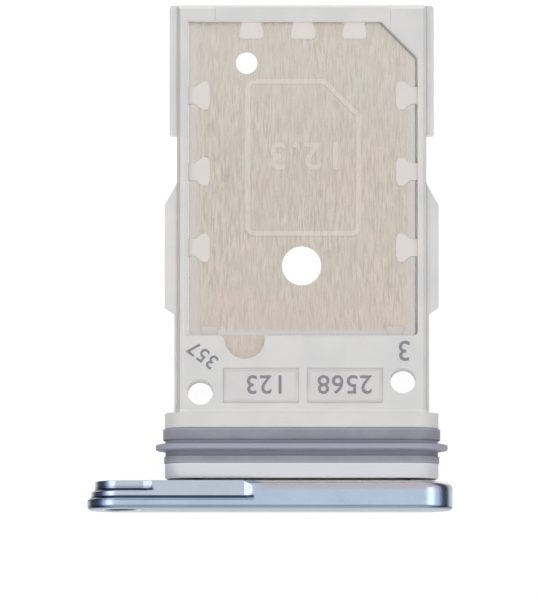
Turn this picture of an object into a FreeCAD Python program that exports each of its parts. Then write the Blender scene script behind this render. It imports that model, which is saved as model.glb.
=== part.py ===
import FreeCAD, Part
import math
import os

# Two-sided nano card tray of a phone, lying flat. All sizes are in millimetres.
#
# The tray slides into the phone along +Y, and its cap, which fills the slot in the phone's edge,
# faces -Y. The four parts are a metal cap, a moulded frame, a pressed plate that the frame's nubs
# lock in place, and a rubber seal ring in the frame's neck.
#
# While a part is modelled, x is measured from the centre line of the neck, y from the front face
# of the cap and z from the middle of the plate. The finished parts are then moved so that the
# origin lies in the middle of the base of the whole tray, with +Z up.

# Card and its pocket
card_length = 12.30
card_width = 8.80
card_thickness = 0.67
card_end_clearance = 0.05
card_side_clearance = 0.10
card_depth_clearance = 0.08
pocket_corner_cut = 1.42
pocket_front_cut = 0.20
pocket_corner_round = 0.18
wall_lead_in = 0.14

# Cap
cap_width = 14.34
cap_height = 2.70
cap_depth = 1.10
cap_offset = 1.244
cap_front_edge_round = 0.14
cap_rear_edge_round = 0.30

# Stepped relief milled round the pin hole end of the cap
relief_step_inset = 0.15
relief_ramp_length = 0.34
relief_cutter_radius = 0.30
relief_wall_slope = 0.10
long_relief_front = 0.38
long_relief_length = 6.15
short_relief_front = 0.68
short_relief_length = 2.20

# Hole for the eject pin
pin_hole_radius = 0.54
pin_hole_countersink_radius = 0.70
pin_hole_countersink_depth = 0.12

# Bond between the frame's tenon and the cap
cap_gap = 0.11
tenon_width = 8.60
tenon_height = 1.20
tenon_engagement = 0.55
bond_clearance = 0.03

# Neck and shoulder of the frame, which are rounded like the seal's bore in the phone
neck_width = 10.74
neck_height = 1.90
neck_length = 0.60
neck_edge_cut = 0.08
shoulder_length = 0.60

# Seal ring
seal_length = 1.38
seal_groove_depth = 0.35
seal_clearance = 0.01
seal_valley_depth = 0.02
seal_front_ridge_rise = 0.03
seal_rear_ridge_rise = 0.07
seal_front_ridge_length = 0.28
seal_rear_ridge_length = 0.46
seal_lip_rise = 0.36
seal_lip_setback = 0.64
seal_lip_root = 0.34
seal_lip_tip = 0.20
seal_lip_round = 0.06
seal_edge_round = 0.04

# Body of the frame behind the shoulder
deck_length = 3.03
left_wall = 0.44
right_wall = 0.34
rear_bar_length = 0.62
rear_edge_cut = 0.15
rear_bar_relief_depth = 0.06
rear_bar_relief_width = 6.90
body_corner_round = 0.10
body_edge_cut = 0.12

# Guide rails along both sides, which reach out from the walls
rail_thickness = 0.80
rail_corner_round = 0.12
front_rail_reach = 0.11
middle_rail_reach = 0.485
middle_rail_start = 4.19
middle_rail_lead = 0.24
middle_rail_length = 4.00
middle_rail_taper = 0.88
rear_rail_reach = 0.295
rear_rail_length = 5.09

# Deck holes, finger notch and recessed marking panels
deck_hole_radius = 0.50
left_deck_hole_x = -3.98
left_deck_hole_setback = 0.79
right_deck_hole_x = 3.97
right_deck_hole_setback = 1.25
notch_radius = 0.79
notch_x = -2.23
notch_depth = 0.91
notch_flare = 0.30
panel_width = 2.94
panel_height = 1.35
panel_spacing = 3.30
panel_setback = 0.38
panel_depth = 0.10

# Pressed plate
plate_thickness = 0.15
plate_edge_clearance = 0.02
plate_slit = 0.08
slit_ledge_overlap = 0.02
slit_ledge_thickness = 0.10
plate_fit_clearance = 0.01
tongue_width = 6.36
tongue_offset = -0.15
tongue_length = 2.60
large_hole_radius = 0.775
large_hole_setback = 2.80
small_hole_radius = 0.43
small_hole_x = -2.21
small_hole_setback = 10.80
outline_width = 4.57
outline_length = 6.20
outline_setback = 3.97
outline_corner_cut = 1.40
outline_corner_round = 0.40
outline_line_width = 0.20
outline_rise = 0.04

# Dovetail nubs of the frame that lock the plate
nub_root_depth = 0.25
nub_tip_share = 1 / 3
nub_lip_rise = 0.05
nub_lip_overlap = 0.05
side_nub_reach = 0.80
side_nub_root = 0.58
side_nub_head = 1.02
side_nub_neck = 0.28
side_nub_first = 3.51
side_nub_spacing = 3.00
side_nub_count = 3
rear_nub_reach = 0.60
rear_nub_root = 0.70
rear_nub_head = 0.86
rear_nub_neck = 0.12
rear_nub_spacing = 2.02
rear_nub_count = 3
front_nub_reach = 0.36
front_nub_root = 0.44
front_nub_head = 0.56
front_nub_neck = 0.12
left_front_nub_x = -3.62
right_front_nub_x = 3.68

# Places worked out from the sizes above
pocket_length = card_length + 2 * card_end_clearance
pocket_width = card_width + 2 * card_side_clearance
pocket_depth = card_thickness + card_depth_clearance
body_width = left_wall + pocket_width + right_wall
body_thickness = plate_thickness + 2 * pocket_depth
neck_front = cap_depth + cap_gap
seal_front = neck_front + neck_length
seal_rear = seal_front + seal_length
shoulder_rear = seal_rear + shoulder_length
pocket_front = shoulder_rear + deck_length
pocket_rear = pocket_front + pocket_length
overall_length = pocket_rear + rear_bar_length
pocket_left = left_wall - body_width / 2
pocket_right = body_width / 2 - right_wall
pocket_middle = (pocket_left + pocket_right) / 2
cap_end_center = -cap_offset - cap_width / 2 + cap_height / 2
seal_floor_depth = seal_groove_depth - seal_clearance
cutting_margin = 1.0


def point(x, y, z=0.0):
    return FreeCAD.Vector(x, y, z)


def box(left, right, front, rear, bottom, top):
    """A block between six planes."""
    return Part.makeBox(right - left, rear - front, top - bottom, point(left, front, bottom))


def round_bar(x, y, radius, half_height):
    """An upright cylinder through the plate's middle plane."""
    return Part.makeCylinder(radius, 2 * half_height, point(x, y, -half_height))


def rounded_wire(corners, height=0.0):
    """Closed outline through corners (x, y, radius), with an arc of that radius at each corner."""
    vertices = [point(x, y, height) for x, y, radius in corners]
    edges = []
    ends = []
    for index, (x, y, radius) in enumerate(corners):
        here = vertices[index]
        toward_last = (vertices[index - 1] - here).normalize()
        toward_next = (vertices[(index + 1) % len(vertices)] - here).normalize()
        half_angle = toward_last.getAngle(toward_next) / 2
        if radius == 0:
            ends.append((here, here))
            continue
        tangent_length = radius / math.tan(half_angle)
        start = here + toward_last * tangent_length
        end = here + toward_next * tangent_length
        toward_center = (toward_last + toward_next).normalize()
        middle = here + toward_center * (radius / math.sin(half_angle) - radius)
        edges.append(Part.Arc(start, middle, end).toShape())
        ends.append((start, end))
    for index, (start, end) in enumerate(ends):
        next_start = ends[(index + 1) % len(ends)][0]
        edges.append(Part.LineSegment(end, next_start).toShape())
    return Part.Wire(Part.__sortEdges__(edges))


def prism(corners, bottom, top):
    """The outline of rounded_wire as a plate from one height to another."""
    face = Part.Face(rounded_wire(corners, bottom))
    return face.extrude(point(0, 0, top - bottom))


def stadium_wire(center_x, width, height, y):
    """Outline across y with a flat top and bottom and half-round ends."""
    radius = height / 2
    flat = width / 2 - radius
    left = center_x - flat
    right = center_x + flat
    edges = [
        Part.LineSegment(point(left, y, radius), point(right, y, radius)).toShape(),
        Part.Arc(point(right, y, radius), point(right + radius, y, 0),
                 point(right, y, -radius)).toShape(),
        Part.LineSegment(point(right, y, -radius), point(left, y, -radius)).toShape(),
        Part.Arc(point(left, y, -radius), point(left - radius, y, 0),
                 point(left, y, radius)).toShape(),
    ]
    return Part.Wire(edges)


def stadium(center_x, width, height, front, rear):
    """A bar along y whose section is the outline of stadium_wire."""
    face = Part.Face(stadium_wire(center_x, width, height, front))
    return face.extrude(point(0, rear - front, 0))


def edges_in_plane(solid, y):
    """The edges of a solid that lie in the plane at y."""
    found = []
    for edge in solid.Edges:
        bounds = edge.BoundBox
        if abs(bounds.YMin - y) < 1e-6 and abs(bounds.YMax - y) < 1e-6:
            found.append(edge)
    return found


def relief_region(length, front):
    """Plan of a milled relief at the pin hole end, with the cutter's radius in its inner corner."""
    cap_left = -cap_offset - cap_width / 2
    end = cap_left + length + relief_ramp_length
    left = cap_left - cutting_margin
    rear = cap_depth + cutting_margin
    corners = [(left, front, 0), (end, front, relief_cutter_radius), (end, rear, 0), (left, rear, 0)]
    return prism(corners, -cap_height, cap_height)


def relief_ramps(length, front, inset):
    """The two slopes by which a relief runs out to the full height, above and below."""
    full = cap_height / 2 - inset + relief_step_inset
    low = cap_height / 2 - inset
    end = -cap_offset - cap_width / 2 + length
    top = Part.makePolygon([point(end, front, low), point(end + relief_ramp_length, front, full),
                            point(end + relief_ramp_length, front, low), point(end, front, low)])
    upper = Part.Face(top).extrude(point(0, cap_depth - front, 0))
    return upper.fuse(upper.mirror(point(0, 0, 0), point(0, 0, 1)))


def relief_form(front, inset):
    """What a relief leaves of the cap: a smaller bar, and a sloped wall up from it at the front."""
    width = cap_width - 2 * inset
    height = cap_height - 2 * inset
    bar = stadium(-cap_offset, width, height, 0, cap_depth)
    rise = 2 * relief_step_inset
    high = stadium_wire(-cap_offset, width + rise, height + rise, front)
    low = stadium_wire(-cap_offset, width, height, front + relief_wall_slope)
    return bar.fuse(Part.makeLoft([high, low], True, True))


def relieve(cap, length, front, inset):
    """Mill one step of the relief: its level floor stays, and its slopes up to the cap's form."""
    region = relief_region(length, front)
    level_end = -cap_offset - cap_width / 2 + length
    run_out = box(level_end, level_end + relief_ramp_length, front, cap_depth,
                  -cap_height, cap_height)
    form = relief_form(front, inset)
    level = form.common(region).cut(run_out)
    slope = form.fuse(relief_ramps(length, front, inset)).common(region).common(run_out)
    return cap.cut(region).fuse([level, slope.common(cap)])


def pin_hole():
    """The through hole for the eject pin with its countersink."""
    direction = point(0, 1, 0)
    bore = Part.makeCylinder(pin_hole_radius, cap_depth + 2 * cutting_margin,
                             point(cap_end_center, -cutting_margin, 0), direction)
    sink = Part.makeCone(pin_hole_countersink_radius, pin_hole_radius, pin_hole_countersink_depth,
                         point(cap_end_center, 0, 0), direction)
    return bore.fuse(sink)


def make_face_cap():
    """Metal cap with rounded edges, stepped relief, pin hole and a blind pocket for the tenon."""
    full = stadium(-cap_offset, cap_width, cap_height, 0, cap_depth)
    rounded = full.makeFillet(cap_front_edge_round, edges_in_plane(full, 0))
    rounded = rounded.makeFillet(cap_rear_edge_round, edges_in_plane(rounded, cap_depth))
    cap = relieve(rounded, long_relief_length, long_relief_front, relief_step_inset)
    cap = relieve(cap, short_relief_length, short_relief_front, 2 * relief_step_inset)
    socket = stadium(0, tenon_width + 2 * bond_clearance, tenon_height + 2 * bond_clearance,
                     cap_depth - tenon_engagement - bond_clearance, cap_depth + cutting_margin)
    return cap.cut(socket).cut(pin_hole()).removeSplitter()


def make_neck():
    """Tenon, neck, groove floor and shoulder, all of stadium section on one axis."""
    core_width = neck_width - 2 * seal_groove_depth
    core_height = neck_height - 2 * seal_groove_depth
    tenon = stadium(0, tenon_width, tenon_height, cap_depth - tenon_engagement, neck_front)
    neck = stadium(0, neck_width, neck_height, neck_front, seal_front)
    neck = neck.makeChamfer(neck_edge_cut, edges_in_plane(neck, neck_front))
    core = stadium(0, core_width, core_height, seal_front, seal_rear)
    shoulder = stadium(0, neck_width, neck_height, seal_rear, shoulder_rear)
    return tenon.fuse([neck, core, shoulder])


def body_section(front, rear):
    """The block's section along y: its four long edges are bevelled."""
    half = body_width / 2
    edge = body_thickness / 2
    section = Part.makePolygon([
        point(-half, front, body_edge_cut - edge), point(body_edge_cut - half, front, -edge),
        point(half - body_edge_cut, front, -edge), point(half, front, body_edge_cut - edge),
        point(half, front, edge - body_edge_cut), point(half - body_edge_cut, front, edge),
        point(body_edge_cut - half, front, edge), point(-half, front, edge - body_edge_cut),
        point(-half, front, body_edge_cut - edge),
    ])
    return Part.Face(section).extrude(point(0, rear - front, 0))


def make_body_block():
    """Deck, side walls and rear bar as one block, with its rear edges bevelled for entry."""
    half = body_width / 2
    edge = body_thickness / 2
    front = seal_rear + shoulder_length / 2
    rear = overall_length
    plan = prism([(-half, front, 0), (half, front, 0), (half, rear, body_corner_round),
                  (-half, rear, body_corner_round)], -edge, edge)
    side = Part.makePolygon([
        point(-half, front, -edge), point(-half, rear - rear_edge_cut, -edge),
        point(-half, rear, rear_edge_cut - edge), point(-half, rear, edge - rear_edge_cut),
        point(-half, rear - rear_edge_cut, edge), point(-half, front, edge),
        point(-half, front, -edge),
    ])
    block = Part.Face(side).extrude(point(2 * half, 0, 0)).common(plan)
    return block.common(body_section(front, rear))


def rail_corners():
    """Plans of the front and rear guide rails on the right side."""
    wall = body_width / 2
    inner = wall - right_wall / 2
    start = seal_rear + shoulder_length / 2
    full_start = shoulder_rear + middle_rail_start
    full_end = full_start + middle_rail_length
    rear_end = overall_length
    front_rail = [
        (inner, start, 0),
        (wall + front_rail_reach, start, 0),
        (wall + front_rail_reach, full_start - middle_rail_lead, 0),
        (wall + middle_rail_reach, full_start, 0),
        (wall + middle_rail_reach, full_end, rail_corner_round),
        (wall, full_end + middle_rail_taper, 0),
        (inner, full_end + middle_rail_taper, 0),
    ]
    rear_rail = [
        (inner, rear_end - rear_rail_length, 0),
        (wall + rear_rail_reach, rear_end - rear_rail_length, rail_corner_round / 2),
        (wall + rear_rail_reach, rear_end, rail_corner_round),
        (inner, rear_end, 0),
    ]
    return front_rail, rear_rail


def make_rails():
    """The four guide rails, the left ones mirrored from the right ones."""
    rails = []
    for corners in rail_corners():
        right = prism(corners, -rail_thickness / 2, rail_thickness / 2)
        rails += [right, right.mirror(point(0, 0, 0), point(1, 0, 0))]
    return rails


def pocket_corners(side, slit, end):
    """Plan of the card pocket, drawn in from its left, right and end walls by three amounts."""
    left = pocket_left + side
    right = pocket_right - slit
    front = pocket_front + end
    rear = pocket_rear - end
    corner_cut = pocket_corner_cut + slit * (math.sqrt(2) - 1) - end
    return [
        (left + pocket_front_cut, front, 0),
        (right, front, pocket_corner_round),
        (right, rear - corner_cut, 0),
        (right - corner_cut, rear, 0),
        (left, rear, 0),
        (left, front + pocket_front_cut, 0),
    ]


def pocket_lead_ins():
    """The bevels along the left pocket wall, above and below, that guide the card's edge."""
    edge = body_thickness / 2
    profile = Part.makePolygon([
        point(pocket_left - wall_lead_in, pocket_front, edge),
        point(pocket_left, pocket_front, edge - wall_lead_in),
        point(pocket_left + cutting_margin, pocket_front, edge - wall_lead_in),
        point(pocket_left + cutting_margin, pocket_front, edge + wall_lead_in),
        point(pocket_left - wall_lead_in, pocket_front, edge + wall_lead_in),
        point(pocket_left - wall_lead_in, pocket_front, edge),
    ])
    upper = Part.Face(profile).extrude(point(0, pocket_length, 0))
    return [upper, upper.mirror(point(0, 0, 0), point(0, 0, 1))]


def finger_notch():
    """U-shaped notch in the deck by which a card is lifted out, flared to the left."""
    center_y = pocket_front - notch_depth + notch_radius
    left = notch_x - notch_radius
    right = notch_x + notch_radius
    back = pocket_front + plate_slit
    outline = [
        Part.LineSegment(point(left, center_y), point(left - notch_flare, back)).toShape(),
        Part.LineSegment(point(left - notch_flare, back), point(right, back)).toShape(),
        Part.LineSegment(point(right, back), point(right, center_y)).toShape(),
        Part.Arc(point(right, center_y), point(notch_x, center_y - notch_radius),
                 point(left, center_y)).toShape(),
    ]
    face = Part.Face(Part.Wire(Part.__sortEdges__(outline)))
    notch = face.extrude(point(0, 0, body_thickness + 2 * cutting_margin))
    notch.translate(point(0, 0, -body_thickness / 2 - cutting_margin))
    return notch


def deck_holes():
    """The two round holes through the deck."""
    left = round_bar(left_deck_hole_x, shoulder_rear + left_deck_hole_setback,
                     deck_hole_radius, body_thickness)
    right = round_bar(right_deck_hole_x, shoulder_rear + right_deck_hole_setback,
                      deck_hole_radius, body_thickness)
    return [left, right]


def marking_panels():
    """The two shallow recesses in the deck's upper side."""
    front = shoulder_rear + panel_setback
    top = body_thickness / 2
    panels = []
    for side in (-1, 1):
        center = pocket_middle + side * panel_spacing / 2
        panels.append(box(center - panel_width / 2, center + panel_width / 2, front,
                          front + panel_height, top - panel_depth, top + cutting_margin))
    return panels


def rear_bar_reliefs():
    """The lower middle of the rear bar, above and below."""
    half = rear_bar_relief_width / 2
    edge = body_thickness / 2
    upper = box(pocket_middle - half, pocket_middle + half, pocket_rear - cutting_margin,
                overall_length + cutting_margin, edge - rear_bar_relief_depth, edge + cutting_margin)
    return [upper, upper.mirror(point(0, 0, 0), point(0, 0, 1))]


def nub_plan(reach, root, head, neck, grow):
    """Plan of a dovetail nub that points along +x from the wall at x = 0, grown all round."""
    tip = reach + grow
    shoulder = (reach + neck) / 2
    tip_cut = (reach - shoulder) * nub_tip_share
    inner = -nub_root_depth
    upper = [
        (neck, root / 2 + grow),
        (shoulder, head / 2 + grow),
        (tip - tip_cut, head / 2 + grow),
        (tip, root / 2 + grow),
    ]
    lower = [(x, -y) for x, y in reversed(upper)]
    return [(inner, root / 2 + grow)] + upper + lower + [(inner, -root / 2 - grow)]


def nub_places():
    """Wall point, turn in degrees and size set of every nub."""
    side_size = (side_nub_reach, side_nub_root, side_nub_head, side_nub_neck)
    rear_size = (rear_nub_reach, rear_nub_root, rear_nub_head, rear_nub_neck)
    front_size = (front_nub_reach, front_nub_root, front_nub_head, front_nub_neck)
    places = []
    for index in range(side_nub_count):
        y = pocket_front + side_nub_first + index * side_nub_spacing
        places.append((pocket_left, y, 0, side_size))
        places.append((pocket_right, y, 180, side_size))
    for index in range(rear_nub_count):
        x = pocket_middle + (index - (rear_nub_count - 1) / 2) * rear_nub_spacing
        places.append((x, pocket_rear, -90, rear_size))
    for x in (left_front_nub_x, right_front_nub_x):
        places.append((x, pocket_front, 90, front_size))
    return places


def nub_prism(place, grow, bottom, top):
    """One nub as a plate from one height to another, at its wall."""
    x, y, turn, size = place
    corners = [(px, py, 0) for px, py in nub_plan(*size, grow)]
    solid = prism(corners, bottom, top)
    solid.rotate(point(0, 0, 0), point(0, 0, 1), turn)
    solid.translate(point(x, y, 0))
    return solid


def make_nubs():
    """Every nub: a core in the plate's notch and a lip over the notch's edge on both faces."""
    seat = plate_thickness / 2 + plate_fit_clearance
    nubs = []
    for place in nub_places():
        core = nub_prism(place, 0, -seat - nub_lip_rise, seat + nub_lip_rise)
        upper_lip = nub_prism(place, nub_lip_overlap, seat, seat + nub_lip_rise)
        lower_lip = nub_prism(place, nub_lip_overlap, -seat - nub_lip_rise, -seat)
        nubs.append(core.fuse([upper_lip, lower_lip]))
    return nubs


def slit_ledge():
    """Ledge along the foot of the right wall that closes the plate's slit from below."""
    seat = plate_thickness / 2 + plate_fit_clearance
    reach = plate_slit + slit_ledge_overlap
    outer = prism(pocket_corners(0, -right_wall / 2, 0), -seat - slit_ledge_thickness, -seat)
    inner = prism(pocket_corners(-cutting_margin, reach, -cutting_margin), -body_thickness, 0)
    return outer.cut(inner)


def tongue(grow, thickness):
    """The plate's tongue under the deck, or with grow the slot that the deck holds it in."""
    center = pocket_middle + tongue_offset
    half = tongue_width / 2 + grow
    return box(center - half, center + half, pocket_front - tongue_length - grow,
               pocket_front + pocket_corner_cut, -thickness / 2, thickness / 2)


def make_tray_frame():
    """Moulded frame: neck, deck, walls and rails with the pocket cut out and the nubs set in."""
    frame = make_neck().fuse([make_body_block()] + make_rails())
    pocket = prism(pocket_corners(0, 0, 0), -body_thickness, body_thickness)
    slot = tongue(plate_fit_clearance, plate_thickness + 2 * plate_fit_clearance)
    cuts = [pocket, slot, finger_notch()]
    cuts += pocket_lead_ins() + rear_bar_reliefs() + deck_holes() + marking_panels()
    frame = frame.cut(cuts)
    return frame.fuse(make_nubs() + [slit_ledge()]).removeSplitter()


def outline_corners(inset):
    """Plan of the card outline pressed into the plate, drawn in by an amount."""
    left = pocket_middle - outline_width / 2 + inset
    right = pocket_middle + outline_width / 2 - inset
    front = pocket_front + outline_setback + inset
    rear = pocket_front + outline_setback + outline_length - inset
    cut = outline_corner_cut - inset * (2 - math.sqrt(2))
    bend = outline_corner_round - inset
    return [(left, front, bend), (right, front, bend), (right, rear - cut, 0),
            (right - cut, rear, 0), (left, rear, bend)]


def outline_ring(bottom, top):
    """The pressed outline's line as a ring between two heights."""
    outer = prism(outline_corners(0), bottom, top)
    inner = prism(outline_corners(outline_line_width), bottom, top)
    return outer.cut(inner)


def make_support_plate():
    """Pressed steel plate with tongue, dovetail notches, holes and raised card outline."""
    half = plate_thickness / 2
    sheet = prism(pocket_corners(plate_edge_clearance, plate_slit, plate_edge_clearance), -half, half)
    sheet = sheet.fuse(tongue(0, plate_thickness))
    cuts = [nub_prism(place, plate_fit_clearance, -plate_thickness, plate_thickness)
            for place in nub_places()]
    cuts.append(round_bar(0, pocket_front + large_hole_setback, large_hole_radius, plate_thickness))
    cuts.append(round_bar(pocket_middle + small_hole_x, pocket_front + small_hole_setback,
                          small_hole_radius, plate_thickness))
    cuts.append(outline_ring(-half, -half + outline_rise))
    return sheet.cut(cuts).fuse(outline_ring(half, half + outline_rise)).removeSplitter()


def seal_profile():
    """Section of the seal as (y, height above the neck's surface, corner radius)."""
    front = seal_front + seal_clearance
    rear = seal_rear - seal_clearance
    middle = seal_front + seal_lip_setback
    low = -seal_valley_depth
    return [
        (front, -seal_floor_depth, 0),
        (front, seal_front_ridge_rise, seal_edge_round),
        (front + seal_front_ridge_length, seal_front_ridge_rise, seal_edge_round),
        (front + seal_front_ridge_length, low, 0),
        (middle - seal_lip_root / 2, low, 0),
        (middle - seal_lip_tip / 2, seal_lip_rise, seal_lip_round),
        (middle + seal_lip_tip / 2, seal_lip_rise, seal_lip_round),
        (middle + seal_lip_root / 2, low, 0),
        (rear - seal_rear_ridge_length, low, 0),
        (rear - seal_rear_ridge_length, seal_rear_ridge_rise, seal_edge_round),
        (rear, seal_rear_ridge_rise, seal_edge_round),
        (rear, -seal_floor_depth, 0),
    ]


def make_seal_ring():
    """Rubber ring: its section runs straight over the flats and turns round the neck's ends."""
    radius = neck_height / 2
    flat = neck_width / 2 - radius
    corners = [(y, rise + radius, bend) for y, rise, bend in seal_profile()]
    section = Part.Face(rounded_wire(corners))
    section.rotate(point(0, 0, 0), point(0, 0, 1), 90)
    section.rotate(point(0, 0, 0), point(0, 1, 0), 90)
    start = section.copy()
    start.translate(point(-flat, 0, 0))
    top = start.extrude(point(2 * flat, 0, 0))
    bottom = top.mirror(point(0, 0, 0), point(0, 0, 1))
    end = section.copy()
    end.translate(point(flat, 0, 0))
    right = end.revolve(point(flat, 0, 0), point(0, 1, 0), 180)
    left = right.mirror(point(0, 0, 0), point(1, 0, 0))
    return top.fuse([bottom, left, right]).removeSplitter()


def place(shape):
    """Move a part from the working axes to the tray's own origin."""
    moved = shape.copy()
    moved.translate(point(cap_offset, -overall_length / 2, cap_height / 2))
    return moved


parts = {
    "face_cap": make_face_cap(),
    "tray_frame": make_tray_frame(),
    "support_plate": make_support_plate(),
    "seal_ring": make_seal_ring(),
}

os.makedirs("parts", exist_ok=True)
for name, shape in parts.items():
    placed = place(shape)
    placed.exportStep("parts/" + name + ".step")
    bounds = placed.optimalBoundingBox(False)
    print(name, "solids", len(placed.Solids), "valid", placed.isValid(),
          "volume", round(placed.Volume, 3),
          "x", round(bounds.XMin, 3), round(bounds.XMax, 3),
          "y", round(bounds.YMin, 3), round(bounds.YMax, 3),
          "z", round(bounds.ZMin, 3), round(bounds.ZMax, 3))
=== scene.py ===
import logging
import math
from dataclasses import dataclass, field
from enum import Enum
from typing import Sequence, Union

import bpy
import numpy as np
from mathutils import Matrix, Vector


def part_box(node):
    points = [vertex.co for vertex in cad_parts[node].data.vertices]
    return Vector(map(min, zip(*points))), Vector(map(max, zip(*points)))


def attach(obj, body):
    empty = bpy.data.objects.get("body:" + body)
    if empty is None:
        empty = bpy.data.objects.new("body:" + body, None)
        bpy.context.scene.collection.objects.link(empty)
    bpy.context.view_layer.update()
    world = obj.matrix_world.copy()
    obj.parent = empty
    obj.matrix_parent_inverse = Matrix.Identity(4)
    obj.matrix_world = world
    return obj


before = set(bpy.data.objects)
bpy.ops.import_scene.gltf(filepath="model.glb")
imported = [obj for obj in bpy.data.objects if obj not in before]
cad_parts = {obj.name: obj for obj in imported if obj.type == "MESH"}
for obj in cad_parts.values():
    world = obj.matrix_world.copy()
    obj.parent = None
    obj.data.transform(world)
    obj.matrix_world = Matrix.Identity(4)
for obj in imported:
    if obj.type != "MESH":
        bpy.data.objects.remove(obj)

LOG = logging.getLogger("card_tray")
MM = 0.001
BODY = "root"

Colour = tuple[float, float, float]
Socket = bpy.types.NodeSocket
Value = Union[float, Sequence[float], Socket]


class Slot(Enum):
    """The record's material slots."""

    CAP = "cap"
    FRAME = "frame"
    PLATE = "plate"
    SEAL = "seal"


def linear(red: int, green: int, blue: int) -> Colour:
    """A colour as a screen shows it, from 0 to 255, as linear light.

    Args:
        red: Red on the screen.
        green: Green on the screen.
        blue: Blue on the screen.

    Returns:
        The same colour in linear values from 0 to 1, by the sRGB curve.
    """
    def channel(level: int) -> float:
        """One channel by the sRGB curve."""
        share = level / 255
        return share / 12.92 if share <= 0.04045 else ((share + 0.055) / 1.055) ** 2.4
    return (channel(red), channel(green), channel(blue))


class Desk:
    """Adds and joins the nodes of one material, world or node group."""

    def __init__(self, tree: bpy.types.NodeTree) -> None:
        """Start from an empty tree."""
        self.tree = tree
        tree.nodes.clear()

    def add(self, kind: str, **settings: object) -> bpy.types.Node:
        """Add a node.

        Args:
            kind: The node's type name.
            settings: Properties to set on the node.

        Returns:
            The new node.
        """
        node = self.tree.nodes.new(kind)
        for name, setting in settings.items():
            setattr(node, name, setting)
        return node

    def feed(self, socket: Socket, value: Value) -> None:
        """Link a socket into an input, or set the input to a number or colour.

        Args:
            socket: The input.
            value: What it takes.
        """
        if isinstance(value, bpy.types.NodeSocket):
            self.tree.links.new(value, socket)
        elif isinstance(value, (int, float)):
            socket.default_value = value
        else:
            numbers = tuple(value)
            room = len(socket.default_value)
            socket.default_value = numbers + (1.0,) * (room - len(numbers))

    def fill(self, node: bpy.types.Node, **values: Value) -> bpy.types.Node:
        """Feed some of a node's inputs.

        Args:
            node: The node.
            values: What its inputs take, by name, with an underline for each space.

        Returns:
            The same node.
        """
        for name, value in values.items():
            self.feed(node.inputs[name.replace("_", " ")], value)
        return node

    def math(self, operation: str, first: Value, second: Value = 0.0,
             clamp: bool = False) -> Socket:
        """What a Math node makes of one or two values.

        Args:
            operation: The Math node's operation.
            first: Its first value.
            second: Its second value.
            clamp: Whether the result is kept between 0 and 1.

        Returns:
            The result's socket.
        """
        node = self.add("ShaderNodeMath", operation=operation, use_clamp=clamp)
        self.feed(node.inputs[0], first)
        self.feed(node.inputs[1], second)
        return node.outputs[0]

    def product(self, first: Value, *others: Value) -> Value:
        """The product of one or more values.

        Args:
            first: The first value.
            others: The others.

        Returns:
            The product.
        """
        for other in others:
            first = self.math("MULTIPLY", first, other)
        return first

    def apart(self, first: Value, second: Value) -> Socket:
        """How far apart two values are."""
        return self.math("ABSOLUTE", self.math("SUBTRACT", first, second))

    def weigh(self, first: Value, second: Value, share: float) -> Socket:
        """The average of two values, with the given share of the second."""
        return self.math("ADD", self.product(first, 1.0 - share), self.product(second, share))

    def vector(self, x: Value, y: Value, z: Value = 0.0) -> Socket:
        """The vector with the given parts."""
        return self.fill(self.add("ShaderNodeCombineXYZ"), X=x, Y=y, Z=z).outputs[0]

    def length(self, x: Value, y: Value) -> Socket:
        """The length of a flat vector."""
        node = self.add("ShaderNodeVectorMath", operation="LENGTH")
        return self.fill(node, Vector=self.vector(x, y)).outputs["Value"]

    def blend(self, share: Value, first: Value, second: Value) -> Socket:
        """A mix of two colours.

        Args:
            share: How much of the second colour there is.
            first: The first colour.
            second: The second colour.

        Returns:
            The mixed colour's socket.
        """
        node = self.add("ShaderNodeMix", data_type="RGBA")
        self.feed(node.inputs["Factor"], share)
        self.feed(node.inputs[6], first)
        self.feed(node.inputs[7], second)
        return node.outputs[2]

    def remap(self, value: Value, low: float, high: float, start: float = 0.0,
              end: float = 1.0) -> Socket:
        """Carry a range of a value smoothly over to another range.

        Args:
            value: The value.
            low: Where its range starts.
            high: Where its range ends.
            start: What low becomes.
            end: What high becomes.

        Returns:
            The new value's socket.
        """
        node = self.add("ShaderNodeMapRange", interpolation_type="SMOOTHSTEP")
        for index, item in enumerate((value, low, high, start, end)):
            self.feed(node.inputs[index], item)
        return node.outputs[0]

    def band(self, value: Value, start: float, end: float, soft: float) -> Socket:
        """Where a value lies between two ends: 1 inside, fading to 0 over a soft margin outside.

        Args:
            value: The value.
            start: The band's lower end.
            end: Its upper end.
            soft: The width of the margins.

        Returns:
            The band's socket, from 0 to 1.
        """
        risen = self.remap(value, start - soft, start)
        return self.product(risen, self.remap(value, end, end + soft, 1.0, 0.0))

    def place(self) -> Socket:
        """The place on the object, in its own coordinates."""
        return self.add("ShaderNodeTexCoord").outputs["Object"]

    def facing(self) -> Socket:
        """The direction that the surface faces."""
        return self.add("ShaderNodeNewGeometry").outputs["True Normal"]

    def rounded(self, radius: Value) -> Socket:
        """The direction that it would face with its edges rounded to a radius."""
        return self.fill(self.add("ShaderNodeBevel", samples=6), Radius=radius).outputs[0]

    def axes(self, vector: Value) -> tuple[Socket, Socket, Socket]:
        """The three parts of a vector.

        Args:
            vector: The vector.

        Returns:
            The sockets of its x, y and z.
        """
        node = self.add("ShaderNodeSeparateXYZ")
        self.feed(node.inputs[0], vector)
        return node.outputs[0], node.outputs[1], node.outputs[2]


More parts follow.
